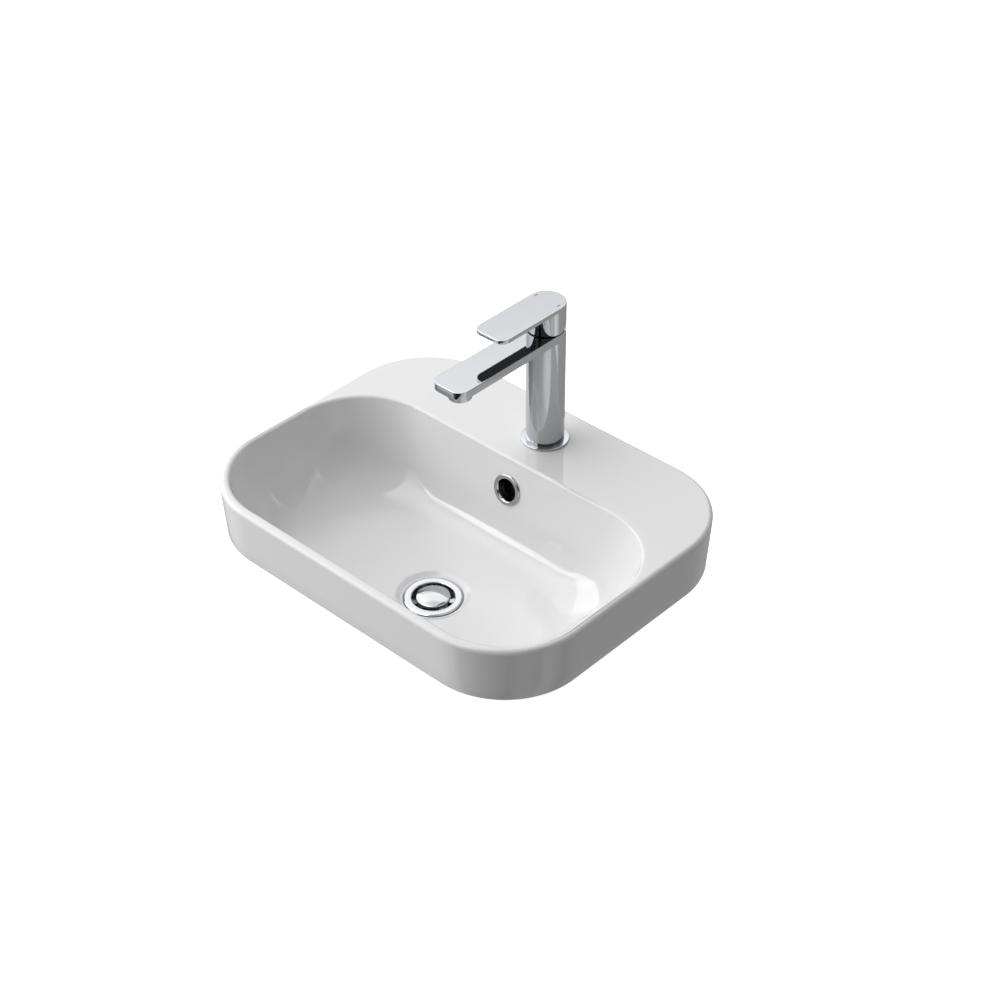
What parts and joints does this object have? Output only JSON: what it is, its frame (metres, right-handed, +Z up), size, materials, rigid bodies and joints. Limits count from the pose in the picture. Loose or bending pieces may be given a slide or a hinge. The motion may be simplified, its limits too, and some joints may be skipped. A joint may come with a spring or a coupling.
{
  "type": "inset basin",
  "caption": "Rounded-rectangle inset basin with a tap ledge, a single-lever mixer tap, an overflow and a push-open waste.",
  "frame": {"origin": "centre of the skirt in plan, on the worktop that it stands on", "axes": "+X to the user's right, -Y towards the user, +Z up"},
  "size_m": [0.5, 0.388, 0.3813],
  "materials": {
    "glazed_china": "glossy white glaze",
    "chrome": "polished chrome plate",
    "black_rubber": "moulded, slightly matt",
    "zinc_steel": "zinc plated",
    "raw_brass": "turned, unplated",
    "white_plastic": "moulded",
    "grey_plastic": "moulded",
    "disc_ceramic": "lapped alumina",
    "red_enamel": "filled enamel",
    "blue_enamel": "filled enamel"
  },
  "bodies": {
    "fixed_parts": {"basin": "glazed_china", "overflow_ring": "chrome", "tap_body": "chrome", "base_ring": "chrome", "base_seal": "black_rubber", "fixing_stud": "zinc_steel", "fixing_gasket": "black_rubber", "fixing_plate": "zinc_steel", "fixing_nut": "raw_brass", "cartridge_base": "white_plastic", "cartridge_seals": "black_rubber", "cartridge_housing": "white_plastic", "fixed_disc": "disc_ceramic", "retaining_nut": "raw_brass", "dome_cap": "chrome", "aerator_housing": "chrome", "aerator_insert": "grey_plastic", "aerator_seal": "black_rubber", "waste_body": "chrome", "waste_top_seal": "black_rubber", "waste_lower_seal": "black_rubber", "waste_washer": "white_plastic", "waste_backnut": "raw_brass", "click_core": "white_plastic", "core_nut": "raw_brass", "click_spring": "zinc_steel"},
    "turner": {"turn_sleeve": "white_plastic", "pivot_pin": "zinc_steel"},
    "lever_group": {"lever": "chrome", "hot_mark": "red_enamel", "cold_mark": "blue_enamel", "grub_screw": "zinc_steel", "screw_cap": "chrome", "spindle": "raw_brass"},
    "disc_group": {"disc_carrier": "white_plastic", "moving_disc": "disc_ceramic"},
    "plug": {"plug_cap": "chrome", "plug_seal": "black_rubber", "plug_sleeve": "raw_brass"}
  },
  "joints": [
    {"name": "mixer_turn", "type": "hinge", "parent": "fixed_parts", "child": "turner", "pos_m": [0, 0.1356, 0.2063], "axis": [0, 0, 1], "range_deg": [-45, 45]},
    {"name": "lever_lift", "type": "hinge", "parent": "turner", "child": "lever_group", "pos_m": [0, 0.1356, 0.2063], "axis": [-1, 0, 0], "range_deg": [0, 20]},
    {"name": "disc_slide", "type": "slide", "parent": "turner", "child": "disc_group", "axis": [0, -1, 0], "range_m": [0, 0.0039]},
    {"name": "plug_press", "type": "slide", "parent": "fixed_parts", "child": "plug", "axis": [0, 0, -1], "range_m": [0, 0.006], "stiffness_N_per_m": 400, "springref_m": -0.004, "deforming": ["click_spring"]}
  ],
  "couplings": [
    {"joint": "disc_slide", "follows": "lever_lift", "m_per_rad": 0.011}
  ]
}
